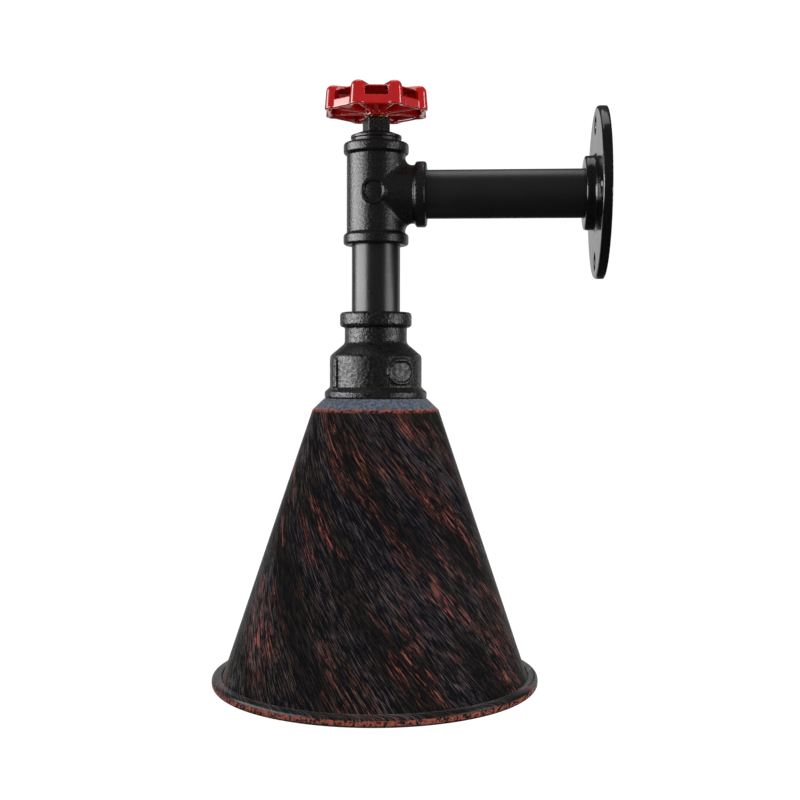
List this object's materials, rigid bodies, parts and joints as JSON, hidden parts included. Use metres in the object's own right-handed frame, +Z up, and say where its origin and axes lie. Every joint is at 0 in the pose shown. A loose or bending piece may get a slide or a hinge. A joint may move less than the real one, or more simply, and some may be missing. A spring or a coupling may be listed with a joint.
{
  "type": "wall lamp",
  "caption": "Industrial wall lamp of pipe fittings: flange, arm, tee with a turning red handwheel, bell reducer and conical shade over a screw-in bulb.",
  "frame": {"origin": "centre of the wall flange's back face, on the wall", "axes": "+Y into the wall along the arm, +Z up, +X to the left as seen from the room facing the wall"},
  "size_m": [0.1814, 0.2164, 0.3308],
  "materials": {
    "cast_black": "satin",
    "pipe_black": "satin",
    "wheel_red": "gloss",
    "antique_copper": "brushed",
    "bright_steel": "satin",
    "brass": "satin",
    "black_moulding": "satin",
    "white_moulding": "gloss",
    "brown_insulation": "satin",
    "blue_insulation": "satin",
    "green_insulation": "satin",
    "clear_glass": "gloss",
    "filament": "matt"
  },
  "bodies": {
    "fixture": {"wall_flange": "cast_black", "arm_pipe": "pipe_black", "pipe_tee": "cast_black", "square_plug": "cast_black", "spindle_bush": "brass", "switch_body": "black_moulding", "switch_base": "black_moulding", "switch_terminals": "brass", "switch_screws": "bright_steel", "drop_pipe": "pipe_black", "bell_reducer": "cast_black", "carrier_washer": "bright_steel", "hanger_tube": "bright_steel", "hanger_nuts": "bright_steel", "earth_tag": "brass", "lampholder_cap": "black_moulding", "lampholder_body": "black_moulding", "lampholder_insert": "white_moulding", "screw_shell": "brass", "centre_contact": "brass", "lampholder_posts": "brass", "lampholder_screws": "bright_steel", "shade": "antique_copper", "shade_ring": "black_moulding", "supply_live_lead": "brown_insulation", "neutral_lead": "blue_insulation", "switched_live_lead": "brown_insulation", "earth_lead": "green_insulation", "lead_sleeves": "bright_steel"},
    "wheel": {"handwheel": "wheel_red", "wheel_washer": "bright_steel", "wheel_nut": "bright_steel", "spindle": "bright_steel", "switch_rotor": "white_moulding", "switch_bridge": "brass"},
    "bulb": {"bulb_tip": "brass", "bulb_insulator": "black_moulding", "bulb_cap": "brass", "bulb_glass": "clear_glass", "bulb_stem": "clear_glass", "bulb_filaments": "filament", "bulb_wires": "bright_steel"}
  },
  "joints": [
    {"name": "wheel_turn", "type": "hinge", "parent": "fixture", "child": "wheel", "pos_m": [0, -0.1257, 0.045], "axis": [0, 0, 1], "range_deg": [0, 90]},
    {"name": "bulb_out", "type": "slide", "parent": "fixture", "child": "bulb", "axis": [0, 0, -1], "range_m": [0, 0.155]}
  ]
}
